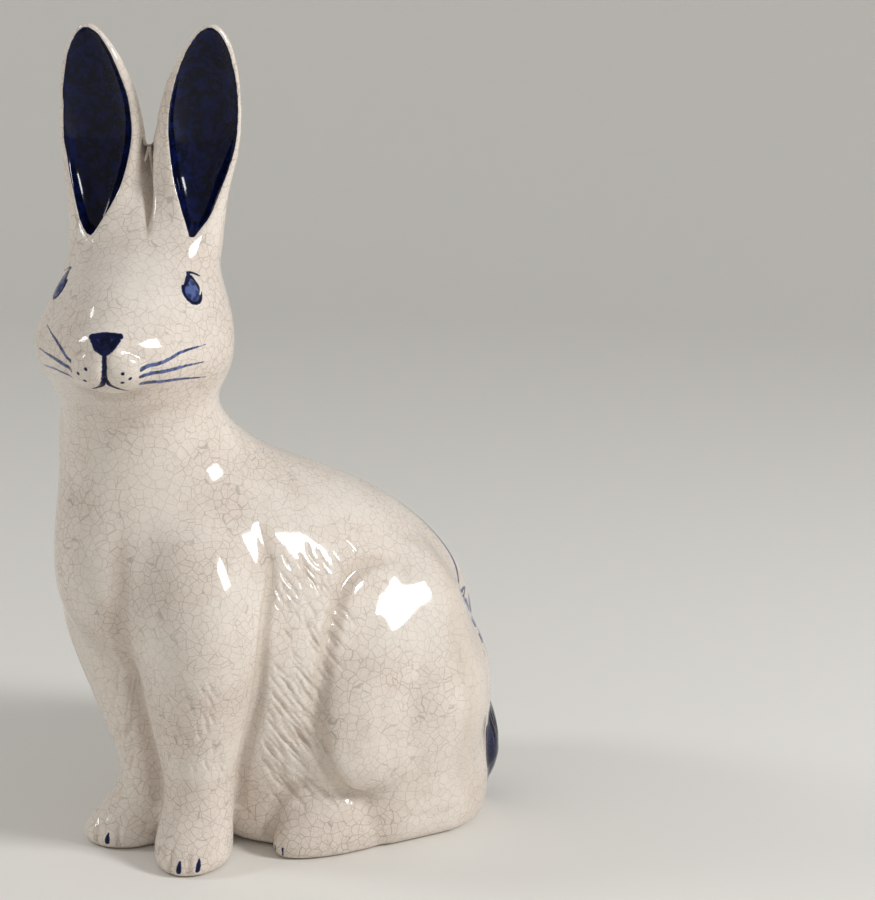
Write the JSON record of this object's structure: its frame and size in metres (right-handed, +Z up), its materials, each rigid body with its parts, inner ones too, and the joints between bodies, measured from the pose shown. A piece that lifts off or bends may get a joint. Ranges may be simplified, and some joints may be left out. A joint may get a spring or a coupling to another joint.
{
  "type": "ceramic rabbit figurine",
  "caption": "Sitting glazed ceramic rabbit with upright scooped ears, a turned head and a round tail: a decorative figurine that stands on a flat base",
  "frame": {"origin": "on the floor, under the middle of the body", "axes": "+Z up; -Y is the way the body faces; +X is the rabbit's left side"},
  "size_m": [0.1781, 0.288, 0.4805],
  "materials": {
    "crackle_glaze": "gloss",
    "navy_glaze": "gloss",
    "bare_clay": "matte"
  },
  "bodies": {
    "root": {"body_left_half": "crackle_glaze", "body_right_half": "crackle_glaze", "base_plate": "bare_clay", "head_left_half": "crackle_glaze", "head_right_half": "crackle_glaze", "left_ear": "crackle_glaze", "right_ear": "crackle_glaze", "left_foreleg": "crackle_glaze", "right_foreleg": "crackle_glaze", "left_hind_foot": "crackle_glaze", "right_hind_foot": "crackle_glaze", "tail": "navy_glaze"}
  },
  "joints": []
}
